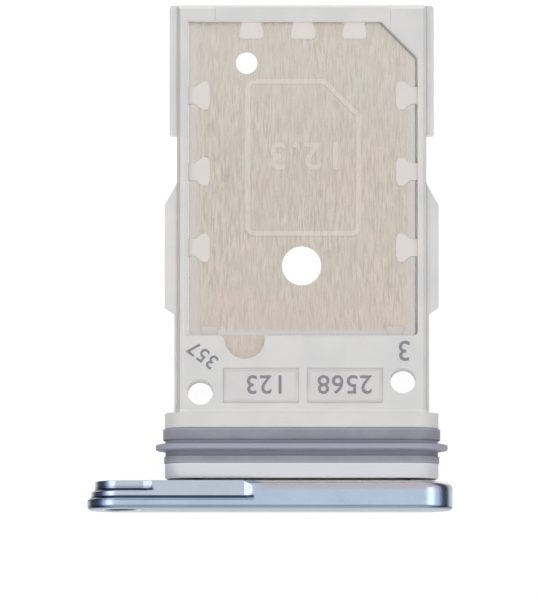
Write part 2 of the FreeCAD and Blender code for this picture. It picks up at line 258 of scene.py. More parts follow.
class Effect(Desk):
    """The desk of a node group for an effect that the finishes use, made once."""

    def __init__(self, name: str, inputs: dict[str, float], outputs: Sequence[str]) -> None:
        """Make the empty group with its sockets.

        Args:
            name: The group's name.
            inputs: Its number inputs with their usual values; Place is always there.
            outputs: Its number outputs.
        """
        super().__init__(bpy.data.node_groups.new(name, "ShaderNodeTree"))
        panel = self.tree.interface
        panel.new_socket("Place", in_out="INPUT", socket_type="NodeSocketVector")
        for label, usual in inputs.items():
            item = panel.new_socket(label, in_out="INPUT", socket_type="NodeSocketFloat")
            item.default_value = usual
        for label in outputs:
            panel.new_socket(label, in_out="OUTPUT", socket_type="NodeSocketFloat")
        self.inputs = self.add("NodeGroupInput").outputs
        self.end = self.add("NodeGroupOutput")

    def noise(self, place: Value, scale: Value, detail: float, distortion: float = 0.0) -> Socket:
        """Noise at a place.

        Args:
            place: Where it is read.
            scale: How many features there are to a metre, or to a unit of place.
            detail: How many finer layers it has.
            distortion: How far it is bent.

        Returns:
            The noise, from 0 to 1.
        """
        node = self.add("ShaderNodeTexNoise")
        self.fill(node, Vector=place, Scale=scale, Detail=detail, Distortion=distortion)
        return node.outputs["Fac"]

    def give(self, **values: Value) -> bpy.types.NodeTree:
        """Feed the group's outputs by name, and hand the group over."""
        self.fill(self.end, **values)
        return self.tree


def make_grain() -> bpy.types.NodeTree:
    """Fine even grain of a blasted or moulded surface: two noises of the given grain size.

    Returns:
        The node group.
    """
    effect = Effect("Fine grain", {"Size": 0.08 * MM, "Contrast": 1.0}, ["Grain"])
    scale = effect.math("DIVIDE", 1.0, effect.inputs["Size"])
    coarse = effect.noise(effect.inputs["Place"], scale, 2.0)
    fine = effect.noise(effect.inputs["Place"], effect.product(scale, 2.7), 1.0)
    both = effect.weigh(coarse, fine, 0.35)
    lifted = effect.product(effect.math("SUBTRACT", both, 0.5), effect.inputs["Contrast"])
    return effect.give(Grain=effect.math("ADD", lifted, 0.5, clamp=True))


def make_clouds() -> bpy.types.NodeTree:
    """Broad soft variation over a surface: one noise, spread to fill 0 to 1.

    Returns:
        The node group.
    """
    effect = Effect("Clouds", {"Size": 2.0 * MM, "Seed": 0.0}, ["Cloud"])
    shift = effect.add("ShaderNodeVectorMath", operation="ADD")
    effect.feed(shift.inputs[0], effect.inputs["Place"])
    effect.feed(shift.inputs[1], effect.inputs["Seed"])
    scale = effect.math("DIVIDE", 1.0, effect.inputs["Size"])
    cloud = effect.noise(shift.outputs[0], scale, 3.0, 0.4)
    return effect.give(Cloud=effect.remap(cloud, 0.33, 0.67))


def make_brushing() -> bpy.types.NodeTree:
    """Brush lines along Y: noise squeezed across the lines and drawn out along them.

    Returns:
        The node group.
    """
    effect = Effect("Brushing", {"Width": 0.06 * MM, "Length": 1.5 * MM}, ["Lines", "Scratches"])
    x, y, z = effect.axes(effect.inputs["Place"])
    length = effect.inputs["Length"]
    squeezed = effect.vector(effect.math("DIVIDE", x, effect.inputs["Width"]),
                             effect.math("DIVIDE", y, length), effect.math("DIVIDE", z, length))
    broad = effect.noise(squeezed, 1.0, 3.0)
    hair = effect.noise(squeezed, 3.3, 2.0)
    return effect.give(Lines=effect.remap(broad, 0.3, 0.7),
                       Scratches=effect.remap(hair, 0.56, 0.72))


def make_edge_wear() -> bpy.types.NodeTree:
    """Where an edge is rubbed: how far a rounded normal leaves the true one, broken by grain.

    Returns:
        The node group.
    """
    effect = Effect("Edge wear", {"Reach": 0.05 * MM, "Grain": 0.5}, ["Wear"])
    turn = effect.add("ShaderNodeVectorMath", operation="DOT_PRODUCT")
    effect.feed(turn.inputs[0], effect.rounded(effect.inputs["Reach"]))
    effect.feed(turn.inputs[1], effect.facing())
    edge = effect.remap(turn.outputs["Value"], 0.995, 0.86)
    broken = effect.math("ADD", effect.inputs["Grain"], 0.25, clamp=True)
    return effect.give(Wear=effect.product(edge, broken))


def make_crevice() -> bpy.types.NodeTree:
    """Where the surface lies in a corner or against another piece: how much of it is covered.

    Returns:
        The node group.
    """
    effect = Effect("Crevice", {"Reach": 0.15 * MM}, ["Shade"])
    cover = effect.add("ShaderNodeAmbientOcclusion", samples=8)
    effect.fill(cover, Distance=effect.inputs["Reach"])
    return effect.give(Shade=effect.remap(cover.outputs["AO"], 0.9, 0.35))


@dataclass
class Effects:
    """The shared node groups."""

    grain: bpy.types.NodeTree = field(default_factory=make_grain)
    clouds: bpy.types.NodeTree = field(default_factory=make_clouds)
    brushing: bpy.types.NodeTree = field(default_factory=make_brushing)
    edge_wear: bpy.types.NodeTree = field(default_factory=make_edge_wear)
    crevice: bpy.types.NodeTree = field(default_factory=make_crevice)


class FinishDesk(Desk):
    """The desk of one finish, whose colour takes one tint after another."""

    def __init__(self, name: str, effects: Effects) -> None:
        """Make the material with its shader and output.

        Args:
            name: The material's name.
            effects: The shared node groups.
        """
        self.material = bpy.data.materials.new(name)
        self.material.use_nodes = True
        super().__init__(self.material.node_tree)
        self.effects = effects
        self.shader = self.add("ShaderNodeBsdfPrincipled")
        self.fill(self.add("ShaderNodeOutputMaterial"), Surface=self.shader.outputs[0])
        self.here = self.place()
        self.colour: Value = (1.0, 1.0, 1.0)

    def group(self, tree: bpy.types.NodeTree, **values: Value) -> Sequence[Socket]:
        """The outputs of a node group at this place, with its other inputs given by name."""
        node = self.add("ShaderNodeGroup", node_tree=tree)
        return self.fill(node, Place=self.here, **values).outputs

    def grain(self, size: float, contrast: float = 1.0) -> Socket:
        """Fine grain of the given size."""
        return self.group(self.effects.grain, Size=size, Contrast=contrast)[0]

    def cloud(self, size: float, seed: float = 0.0) -> Socket:
        """Broad soft variation of the given size."""
        return self.group(self.effects.clouds, Size=size, Seed=seed)[0]

    def ground(self, share: Value, dark: Colour, light: Colour) -> None:
        """Start from a mix of a dark and a light colour."""
        self.colour = self.blend(share, dark, light)

    def tint(self, colour: Value, *shares: Value) -> None:
        """Lay a colour over it, as much of it as the shares multiplied give."""
        self.colour = self.blend(self.product(*shares), self.colour, colour)

    def complete(self, relief: Value, depth: float, edge_round: float, roughness: Value,
                 **plain: float) -> bpy.types.Material:
        """Feed the shader its colour, roughness, fine relief and rounded edges.

        Args:
            relief: The relief, from 0 to 1.
            depth: How deep the relief is.
            edge_round: The radius of the rounding that sharp edges seem to have.
            roughness: The roughness.
            plain: The shader's even inputs, by name.

        Returns:
            The finished material.
        """
        bump = self.fill(self.add("ShaderNodeBump"), Strength=1.0, Distance=depth, Height=relief,
                         Normal=self.rounded(edge_round))
        self.fill(self.shader, Base_Color=self.colour, Roughness=roughness,
                  Normal=bump.outputs[0], **plain)
        return self.material


@dataclass(frozen=True)
class PanelPair:
    """The two marking panels side by side in the deck."""

    middle_x: float
    middle_y: float
    half_spacing: float = 1.65 * MM
    half_width: float = 1.47 * MM
    half_height: float = 0.675 * MM

    def distance(self, desk: Desk, x: Value, y: Value) -> Socket:
        """How far a place lies outside the nearer panel's edge, or less than 0 inside it.

        Args:
            desk: The finish's desk.
            x: The place's x.
            y: The place's y.

        Returns:
            The distance's socket.
        """
        off_column = desk.apart(desk.apart(x, self.middle_x), self.half_spacing)
        off_row = desk.apart(y, self.middle_y)
        return desk.math("MAXIMUM", desk.math("SUBTRACT", off_column, self.half_width),
                         desk.math("SUBTRACT", off_row, self.half_height))


@dataclass(frozen=True)
class MouldedPlastic:
    """Light grey moulded plastic with a fine spark-eroded skin.

    The nubs in the pocket were pressed smoother and warmer, and the neck carries a painted
    reflection of the cap's blue. What lies in front of the neck carries a painted shadow of the gap
    to the cap, and corners carry a little painted shade. The walls, the deck's step and the left
    rails are painted lighter, and the outer faces on the left and the marking panels' edges carry
    painted shade.
    """

    nub_level: float
    neck_rear: float
    neck_front: float
    deck_front: float
    inner_middle: float
    inner_half: float
    panels: PanelPair
    smooth: float = 0.40
    rough: float = 0.56
    light: Colour = linear(219, 218, 217)
    dark: Colour = linear(209, 208, 208)
    nub: Colour = linear(222, 215, 211)
    # Painted reflection of the cap's blue on the neck.
    neck: Colour = linear(215, 217, 224)
    # Near white for painted light on the walls, the deck's step and the left rails.
    wall: Colour = linear(250, 249, 248)
    # Painted shadow of the gap between the neck and the cap.
    painted_gap_shadow: Colour = linear(98, 93, 95)
    # Dark grey for painted shade in corners, along the panels' edges and on the left outer faces;
    # it also darkens the panels' floors.
    corner: Colour = linear(150, 145, 144)
    grain_size: float = 0.055 * MM
    cloud_size: float = 1.6 * MM
    skin_depth: float = 0.0016 * MM
    edge_round: float = 0.035 * MM
    painted_shade_reach: float = 0.05 * MM
    nub_share: float = 0.8
    neck_painted_reflection_share: float = 0.8
    inner_wall_light_share: float = 0.68
    step_painted_light_share: float = 0.5
    outer_painted_shade_share: float = 0.40
    rail_painted_light_share: float = 0.16
    front_edge_shade_share: float = 0.08
    rear_edge_shade_share: float = 0.21
    sunk_share: float = 0.055
    corner_painted_shade_share: float = 0.22

    def shade_walls(self, desk: FinishDesk) -> None:
        """Colour the walls: painted light on some of them, painted shade on the outer edge on the
        left.

        Painted lighter are the walls that face along the tray and, less so, those inside the
        pocket, the deck's step to the shoulder and the left rails.

        Args:
            desk: The finish's desk.
        """
        x, y, _ = desk.axes(desk.here)
        sideways, along, _ = desk.axes(desk.facing())
        inner = desk.remap(desk.apart(x, self.inner_middle), self.inner_half,
                           self.inner_half + 0.02 * MM, 1.0, 0.0)
        across = desk.product(desk.math("ABSOLUTE", sideways), inner, self.inner_wall_light_share)
        steep = desk.math("MAXIMUM", desk.math("ABSOLUTE", along), across)
        # Painted light on walls that face along the tray and, less so, on those inside the pocket.
        desk.tint(self.wall, desk.remap(steep, 0.35, 0.65))
        # Painted light on the deck's step to the shoulder.
        foot = desk.band(y, self.deck_front + 0.01 * MM, self.deck_front + 0.08 * MM, 0.05 * MM)
        desk.tint(self.wall, foot, self.step_painted_light_share)
        behind = desk.remap(y, self.deck_front, self.deck_front + 0.05 * MM)
        # Painted shade on the outer faces that face left, behind the deck's front.
        leftward = desk.remap(sideways, -0.35, -0.65, 0.0, self.outer_painted_shade_share)
        desk.tint(self.corner, desk.math("SUBTRACT", 1.0, inner), leftward, behind)
        pocket_left = self.inner_middle - self.inner_half
        # Painted light on the left rails and everything left of the pocket.
        rail = desk.remap(x, pocket_left - 0.25 * MM, pocket_left - 0.35 * MM, 0.0, self.rail_painted_light_share)
        desk.tint(self.wall, rail, behind)

    def mark_panels(self, desk: FinishDesk) -> None:
        """Paint shade along the marking panels' edges, more so at the rear, and darken their floors
        a little.

        Args:
            desk: The finish's desk.
        """
        x, y, z = desk.axes(desk.here)
        distance = self.panels.distance(desk, x, y)
        middle = self.panels.middle_y
        share = desk.remap(y, middle - 0.3 * MM, middle + 0.3 * MM, self.front_edge_shade_share,
                           self.rear_edge_shade_share)
        above = desk.remap(z, self.nub_level, self.nub_level + 0.1 * MM)
        # Painted shade along the panels' edges.
        line = desk.band(distance, -0.07 * MM, 0.0, 0.10 * MM)
        desk.tint(self.corner, line, above, share)
        sunk = desk.remap(distance, -0.05 * MM, -0.09 * MM, 0.0, self.sunk_share)
        desk.tint(self.corner, sunk, above)

    def make(self, effects: Effects) -> bpy.types.Material:
        """Make the material.

        Args:
            effects: The shared node groups.

        Returns:
            The material.
        """
        desk = FinishDesk("moulded_plastic", effects)
        grain = desk.grain(self.grain_size)
        desk.ground(desk.weigh(desk.cloud(self.cloud_size), grain, 0.4), self.dark, self.light)
        _, y, z = desk.axes(desk.here)
        nub = desk.remap(desk.apart(z, self.nub_level), 0.03 * MM, 0.015 * MM, 0.0, self.nub_share)
        desk.tint(self.nub, nub)
        # Painted reflection of the cap's blue, on the neck and on what lies in front of it.
        neck = desk.remap(y, self.neck_rear + 0.05 * MM, self.neck_rear - 0.05 * MM, 0.0,
                          self.neck_painted_reflection_share)
        desk.tint(self.neck, neck)
        self.shade_walls(desk)
        self.mark_panels(desk)
        # Painted shadow of the gap between the neck and the cap.
        painted_gap_shadow = desk.remap(y, self.neck_front + 0.01 * MM, self.neck_front + 0.002 * MM)
        desk.tint(self.painted_gap_shadow, painted_gap_shadow)
        # Painted shade in corners and where pieces meet.
        crevice = desk.group(effects.crevice, Reach=self.painted_shade_reach)[0]
        desk.tint(self.corner, crevice, self.corner_painted_shade_share)
        roughness = desk.remap(grain, 0.0, 1.0, self.smooth, self.rough)
        return desk.complete(grain, self.skin_depth, self.edge_round, roughness,
                             Specular_IOR_Level=0.42)


@dataclass(frozen=True)
class MilledStep:
    """A step milled into the cap's rear, from the pin hole's end up to a place along X.

    Its wall faces +Y and slopes and carries painted shade, and a softer painted shade lies beside
    the wall.
    """

    wall_y: float
    end_x: float
    soft_start: float
    soft_share: float
    slope: float = 0.10 * MM

    def within(self, desk: Desk, x: Value) -> Socket:
        """Where along X the step runs, from 0 to 1."""
        return desk.remap(x, self.end_x, self.end_x + 0.1 * MM, 1.0, 0.0)

    def shade(self, desk: Desk, x: Value, y: Value) -> Value:
        """How dark the step's wall and the place beside it are.

        Args:
            desk: The finish's desk.
            x: The place's x.
            y: The place's y.

        Returns:
            The darkness, from 0 to 1.
        """
        wall_end = self.wall_y + self.slope + 0.02 * MM
        wall = desk.band(y, self.wall_y + 0.03 * MM, wall_end, 0.015 * MM)
        start = self.wall_y + self.soft_start
        soft = desk.band(y, start, start + 0.05 * MM, 0.07 * MM)
        dark = desk.math("MAXIMUM", wall, desk.product(soft, self.soft_share))
        return desk.product(dark, self.within(desk, x))


@dataclass(frozen=True)
class AnodisedMetal:
    """Blue anodised aluminium with a blasted skin.

    A painted dark reflection runs behind the face's edge. The rear edge carries a painted grey
    reflection with a painted highlight on its rim, the milled steps' floors are grey, and their
    walls and the place beside them carry painted shade. The pin hole has a turned ring at the cap's
    face whose bright bare metal is partly a painted highlight, bright at its upper left and lower
    right with painted shade on the other two quarters, and the hole carries painted shade inside.
    """

    face: float
    hole_x: float
    hole_z: float
    ring_radius: float
    long_step: MilledStep
    short_step: MilledStep
    rear_edge: float
    smooth: float = 0.19
    rough: float = 0.28
    light: Colour = linear(189, 205, 225)
    dark: Colour = linear(164, 180, 201)
    worn: Colour = linear(214, 228, 242)
    # Bright turned metal of the pin hole's ring, partly a painted highlight.
    turned: Colour = linear(232, 246, 252)
    # Painted grey reflection of the neck on the cap's rear edge.
    painted_rear_reflection: Colour = linear(181, 179, 185)
    # Painted highlight on the rear edge's rim.
    painted_rim_highlight: Colour = linear(234, 232, 236)
    # Dark navy for the painted dark reflection behind the face's edge and painted shade on the
    # steps' walls and inside the pin hole.
    deep: Colour = linear(62, 77, 98)
    milled: Colour = linear(192, 197, 203)
    grain_size: float = 0.06 * MM
    cloud_size: float = 1.3 * MM
    skin_depth: float = 0.0022 * MM
    edge_round: float = 0.035 * MM
    wear_share: float = 0.4
    rear_reflection_share: float = 0.95
    milled_share: float = 0.5
    face_edge_reflection_share: float = 0.46
    ring_shade_share: float = 0.85
    ring_polish: float = 0.08

    def finish_edges(self, desk: FinishDesk) -> None:
        """Paint the rear edge's reflection and highlight, colour the steps' floors, paint shade on
        their walls, and paint the dark reflection behind the face's edge.

        Args:
            desk: The finish's desk.
        """
        x, y, _ = desk.axes(desk.here)
        beyond = desk.remap(x, self.long_step.end_x, self.long_step.end_x + 0.5 * MM)
        # Painted reflection on the rear edge, to the right of the steps.
        edge = desk.remap(y, self.rear_edge - 0.46 * MM, self.rear_edge - 0.24 * MM, 0.0,
                          self.rear_reflection_share)
        desk.tint(self.painted_rear_reflection, edge, beyond)
        # Painted highlight on the rear edge's rim.
        painted_rim_highlight = desk.remap(y, self.rear_edge - 0.15 * MM, self.rear_edge - 0.09 * MM)
        desk.tint(self.painted_rim_highlight, painted_rim_highlight, beyond)
        wall = self.long_step.wall_y
        floor = desk.remap(y, wall, wall + self.long_step.slope, 0.0, self.milled_share)
        desk.tint(self.milled, floor, self.long_step.within(desk, x))
        # Painted dark reflection just behind the face's edge.
        line = desk.band(y, self.face + 0.06 * MM, self.face + 0.115 * MM, 0.03 * MM)
        desk.tint(self.deep, line, self.face_edge_reflection_share)
        # Painted shade on the steps' walls and beside them.
        for step in (self.long_step, self.short_step):
            desk.tint(self.deep, step.shade(desk, x, y))

    def turn_hole(self, desk: FinishDesk) -> Socket:
        """Colour the pin hole's turned ring, with painted shade on two of its quarters, and paint
        shade inside the hole.

        Args:
            desk: The finish's desk.

        Returns:
            Where the ring and the hole are, from 0 to 1.
        """
        x, y, z = desk.axes(desk.here)
        across = desk.math("SUBTRACT", x, self.hole_x)
        upward = desk.math("SUBTRACT", z, self.hole_z)
        ring = desk.remap(desk.length(across, upward), self.ring_radius + 0.07 * MM,
                          self.ring_radius + 0.04 * MM)
        diagonal = desk.math("DIVIDE", desk.product(across, upward), self.ring_radius ** 2)
        # Painted shade on the ring's upper right and lower left quarters; the other two stay
        # bright.
        ring_painted_shade = desk.remap(diagonal, -0.10, 0.35, 0.0, self.ring_shade_share)
        desk.tint(desk.blend(ring_painted_shade, self.turned, self.dark), ring)
        # Painted shade inside the pin hole.
        inside = desk.remap(y, self.face + 0.02 * MM, self.face + 0.05 * MM)
        desk.tint(self.deep, ring, inside)
        return ring

    def make(self, effects: Effects) -> bpy.types.Material:
        """Make the material.

        Args:
            effects: The shared node groups.

        Returns:
            The material.
        """
        desk = FinishDesk("anodised_metal", effects)
        grain = desk.grain(self.grain_size, 1.9)
        desk.ground(desk.weigh(grain, desk.cloud(self.cloud_size), 0.25), self.dark, self.light)
        desk.tint(self.worn, desk.group(effects.edge_wear, Grain=grain)[0], self.wear_share)
        self.finish_edges(desk)
        ring = self.turn_hole(desk)
        blasted = desk.remap(grain, 0.0, 1.0, self.smooth, self.rough)
        roughness = desk.math("SUBTRACT", blasted, desk.product(ring, self.ring_polish))
        return desk.complete(grain, self.skin_depth, self.edge_round, roughness, Metallic=1.0)


@dataclass(frozen=True)
class BrushedSteel:
    """Warm stainless sheet brushed along the tray, with its pressed line rubbed bright.

    Beside the pocket's two long walls it carries a painted reflection of their white, which makes
    it paler there, and at the deck a cooler painted reflection of the deck. It is a little rosier
    at the front and paler at the rear.
    """

    raised_from: float
    left_x: float
    right_x: float
    front_y: float
    rear_y: float
    smooth: float = 0.27
    rough: float = 0.38
    light: Colour = linear(217, 208, 198)
    dark: Colour = linear(186, 177, 166)
    rosy: Colour = linear(208, 192, 184)
    olive: Colour = linear(198, 194, 180)
    bright: Colour = linear(231, 224, 214)
    # Paler tone at the rear, also used for the painted reflection of the pocket's walls.
    pale: Colour = linear(220, 216, 213)
    # Painted reflection of the deck.
    painted_deck_reflection: Colour = linear(207, 204, 208)
    line_width: float = 0.055 * MM
    line_length: float = 0.62 * MM
    line_depth: float = 0.0016 * MM
    edge_round: float = 0.02 * MM
    cloud_share: float = 0.42
    scratch_share: float = 0.4
    front_share: float = 0.28
    rear_share: float = 0.20
    raised_share: float = 0.35
    wall_reflection_share: float = 0.60
    deck_reflection_share: float = 0.85

    def fade(self, desk: FinishDesk) -> None:
        """Lay the colours of the front, rear and raised line over it, and the painted reflections
        of the walls and the deck.

        Args:
            desk: The finish's desk.
        """
        x, y, z = desk.axes(desk.here)
        forward = desk.remap(y, self.front_y + 3.1 * MM, self.front_y, 0.0, self.front_share)
        desk.tint(self.rosy, forward)
        rearward = desk.remap(y, self.rear_y - 6.0 * MM, self.rear_y - 1.0 * MM, 0.0,
                              self.rear_share)
        desk.tint(self.pale, rearward)
        raised = desk.remap(z, self.raised_from, self.raised_from + 0.012 * MM, 0.0,
                            self.raised_share)
        desk.tint(self.bright, raised)
        to_wall = desk.math("MINIMUM", desk.math("SUBTRACT", x, self.left_x),
                            desk.math("SUBTRACT", self.right_x, x))
        # Painted reflection of the pocket's long walls.
        beside = desk.remap(to_wall, 0.05 * MM, 0.55 * MM, self.wall_reflection_share, 0.0)
        desk.tint(self.pale, beside)
        # Painted reflection of the deck, up to the deck's edge.
        at_deck = desk.remap(y, self.front_y + 0.02 * MM, self.front_y + 0.32 * MM,
                             self.deck_reflection_share, 0.0)
        clear = desk.remap(y, self.front_y - 0.02 * MM, self.front_y)
        desk.tint(self.painted_deck_reflection, at_deck, clear)

    def make(self, effects: Effects) -> bpy.types.Material:
        """Make the material.

        Args:
            effects: The shared node groups.

        Returns:
            The material.
        """
        desk = FinishDesk("brushed_steel", effects)
        lines, scratches = desk.group(effects.brushing, Width=self.line_width,
                                      Length=self.line_length)
        desk.ground(lines, self.dark, self.light)
        desk.tint(self.rosy, desk.cloud(0.9 * MM), self.cloud_share)
        desk.tint(self.olive, desk.cloud(1.2 * MM, 0.37), self.cloud_share)
        desk.tint(self.bright, scratches, self.scratch_share)
        self.fade(desk)
        roughness = desk.remap(lines, 0.0, 1.0, self.smooth, self.rough)
        return desk.complete(lines, self.line_depth, self.edge_round, roughness, Metallic=1.0)


@dataclass(frozen=True)
class SiliconeRubber:
    """Grey-violet silicone: painted shade in its valleys, a painted highlight on its lip and
    painted light at its two ends.

    How far a place stands out of the ring is measured from the ring's flat core, whose section
    along the ring is a straight line with the given half length.
    """

    middle_x: float
    middle_z: float
    core_half: float
    valley_radius: float
    lip_y: float
    front_end: float
    rear_end: float
    smooth: float = 0.48
    rough: float = 0.66
    light: Colour = linear(150, 151, 162)
    dark: Colour = linear(135, 136, 147)
    # Painted shade in the valleys.
    valley_painted_shade: Colour = linear(114, 116, 130)
    # Painted light in the valley behind the lip.
    rear_valley_painted_light: Colour = linear(155, 156, 174)
    # Painted highlight on the lip and painted light at the ring's two ends; also the colour of worn
    # edges.
    lip: Colour = linear(161, 162, 177)
    grain_size: float = 0.05 * MM
    cloud_size: float = 1.1 * MM
    skin_depth: float = 0.002 * MM
    edge_round: float = 0.03 * MM
    profile_share: float = 0.9
    ends_painted_light_share: float = 0.75
    wear_share: float = 0.3

    def make(self, effects: Effects) -> bpy.types.Material:
        """Make the material.

        Args:
            effects: The shared node groups.

        Returns:
            The material.
        """
        desk = FinishDesk("silicone_rubber", effects)
        grain = desk.grain(self.grain_size, 1.4)
        desk.ground(desk.weigh(desk.cloud(self.cloud_size), grain, 0.4), self.dark, self.light)
        x, y, z = desk.axes(desk.here)
        past_core = desk.math("SUBTRACT", desk.apart(x, self.middle_x), self.core_half)
        out = desk.length(desk.math("MAXIMUM", past_core, 0.0),
                          desk.math("SUBTRACT", z, self.middle_z))
        rise = desk.math("SUBTRACT", out, self.valley_radius)
        low = desk.remap(rise, 0.05 * MM, 0.01 * MM, 0.0, self.profile_share)
        high = desk.remap(rise, 0.155 * MM, 0.22 * MM, 0.0, self.profile_share)
        behind = desk.remap(y, self.lip_y, self.lip_y + 0.1 * MM)
        # Painted shade in the valleys, lighter behind the lip.
        desk.tint(desk.blend(behind, self.valley_painted_shade, self.rear_valley_painted_light), low)
        # Painted highlight on the lip.
        desk.tint(self.lip, high)
        to_end = desk.math("MINIMUM", desk.math("SUBTRACT", y, self.front_end),
                           desk.math("SUBTRACT", self.rear_end, y))
        # Painted light at the ring's two ends.
        end = desk.remap(to_end, 0.05 * MM, 0.11 * MM, self.ends_painted_light_share, 0.0)
        desk.tint(self.lip, end)
        desk.tint(self.lip, desk.group(effects.edge_wear, Grain=grain)[0], self.wear_share)
        roughness = desk.remap(grain, 0.0, 1.0, self.smooth, self.rough)
        return desk.complete(grain, self.skin_depth, self.edge_round, roughness,
                             Specular_IOR_Level=0.4)


@dataclass(frozen=True)
class DeckInk:
    """Dark grey mark in the moulded plastic, with the plastic's own grain."""

    smooth: float = 0.5
    rough: float = 0.7
    light: Colour = linear(152, 150, 156)
    dark: Colour = linear(116, 114, 121)
    grain_size: float = 0.05 * MM
    skin_depth: float = 0.001 * MM
    edge_round: float = 0.01 * MM

    def make(self, effects: Effects) -> bpy.types.Material:
        """Make the material.

        Args:
            effects: The shared node groups.

        Returns:
            The material.
        """
        desk = FinishDesk("deck_ink", effects)
        grain = desk.grain(self.grain_size, 1.6)
        desk.ground(grain, self.dark, self.light)
        roughness = desk.remap(grain, 0.0, 1.0, self.smooth, self.rough)
        return desk.complete(grain, self.skin_depth, self.edge_round, roughness)


def dress(name: str, material: bpy.types.Material) -> None:
    """Give a part of the frame its finish.

    Args:
        name: The part's node.
        material: The finish.
    """
    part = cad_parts[name]
    part.data.materials.clear()
    part.data.materials.append(material)
    LOG.info("%s: %s, %d faces", name, material.name, len(part.data.polygons))


def keep(name: str, mesh: bpy.types.Mesh, material: bpy.types.Material) -> bpy.types.Object:
    """Put a finished mesh in the scene as a piece of the tray.

    Args:
        name: The piece's name.
        mesh: Its mesh, in place.
        material: Its finish.

    Returns:
        The piece.
    """
    mesh.materials.clear()
    mesh.materials.append(material)
    piece = bpy.data.objects.new(name, mesh)
    bpy.context.scene.collection.objects.link(piece)
    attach(piece, BODY)
    LOG.info("%s: %s, %d faces", name, material.name, len(mesh.polygons))
    return piece


@dataclass
class Tray:
    """The tray's own directions and levels, read from the frame, and half its thicknesses."""

    cap: tuple[Vector, Vector] = field(default_factory=lambda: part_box("face_cap"))
    body: tuple[Vector, Vector] = field(default_factory=lambda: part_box("tray_frame"))
    deck_half: float = 0.825 * MM
    plate_half: float = 0.075 * MM

    @property
    def front(self) -> float:
        """The plane of the cap's face."""
        return self.cap[0].y

    @property
    def middle_x(self) -> float:
        """The centre line of the frame."""
        return (self.body[0].x + self.body[1].x) / 2

    @property
    def middle_z(self) -> float:
        """The level of the plate's middle plane."""
        return (self.cap[0].z + self.cap[1].z) / 2


@dataclass
class Number:
    """A plain number laid flat on the tray."""

    name: str
    digits: str
    x: float
    y: float
    level: float
    height: float
    turn: float = 180.0
    rise: float = 0.012 * MM
    boldness: float = 0.008 * MM
    spread: float = 1.08
    digit_share: float = 0.7

    def build(self, material: bpy.types.Material, slot: Slot) -> bpy.types.Object:
        """Make the number's mesh and put it in place.

        The digits are set as text, of whose size their height is a given share, made a mesh,
        centred and turned about +Z, and their flat faces stand above the level by the rise.

        Args:
            material: Its finish.
            slot: The record's material slot; not used.

        Returns:
            The piece.
        """
        text = bpy.data.curves.new(self.name, "FONT")
        text.body = self.digits
        text.size = self.height / self.digit_share
        text.space_character = self.spread
        text.align_x = "CENTER"
        text.align_y = "CENTER"
        text.extrude = self.rise
        text.offset = self.boldness
        text.resolution_u = 6
        holder = bpy.data.objects.new(self.name + "_text", text)
        bpy.context.scene.collection.objects.link(holder)
        bpy.context.view_layer.update()
        mesh = bpy.data.meshes.new_from_object(holder)
        bpy.data.objects.remove(holder)
        mesh.name = self.name
        points = np.empty(len(mesh.vertices) * 3)
        mesh.vertices.foreach_get("co", points)
        points = points.reshape(-1, 3)
        points -= (points.min(axis=0) + points.max(axis=0)) / 2
        angle = math.radians(self.turn)
        turned = points[:, :2] @ np.array([[math.cos(angle), math.sin(angle)],
                                           [-math.sin(angle), math.cos(angle)]])
        points[:, :2] = turned + (self.x, self.y)
        points[:, 2] += self.level
        mesh.vertices.foreach_set("co", points.ravel())
        mesh.update()
        return keep(self.name, mesh, material)


@dataclass
class DeckMarks:
    """Plain numbers on the deck: one in each marking panel and two behind them."""

    tray: Tray
    panel_depth: float = 0.10 * MM
    digit_height: float = 0.72 * MM

    def build(self, ink: bpy.types.Material) -> None:
        """Make every number on the deck.

        Args:
            ink: Their finish.
        """
        top = self.tray.middle_z + self.tray.deck_half
        recess = top - self.panel_depth
        row = self.tray.front + 4.89 * MM
        middle = self.tray.middle_x + 0.05 * MM
        numbers = [
            Number("deck_number_left", "123", middle - 1.52 * MM, row, recess, self.digit_height),
            Number("deck_number_right", "2568", middle + 1.64 * MM, row, recess, self.digit_height),
            Number("deck_number_corner", "3", self.tray.middle_x + 4.02 * MM,
                   self.tray.front + 6.21 * MM, top, 0.78 * MM),
            Number("deck_number_slanted", "357", self.tray.middle_x - 3.90 * MM,
                   self.tray.front + 6.05 * MM, top, 0.56 * MM, turn=143.0),
        ]
        for number in numbers:
            number.build(ink, Slot.FRAME)


@dataclass
class PlateMark:
    """The card's length in millimetres, raised in the plate inside the card outline."""

    tray: Tray
    digit_height: float = 1.04 * MM

    def build(self, material: bpy.types.Material) -> None:
        """Make the number.

        Args:
            material: Its finish.
        """
        level = self.tray.middle_z + self.tray.plate_half
        x = self.tray.middle_x + 0.10 * MM
        y = self.tray.front + 13.95 * MM
        Number("plate_number", "12.3", x, y, level, self.digit_height, rise=0.03 * MM,
               boldness=0.035 * MM, spread=1.2).build(material, Slot.PLATE)


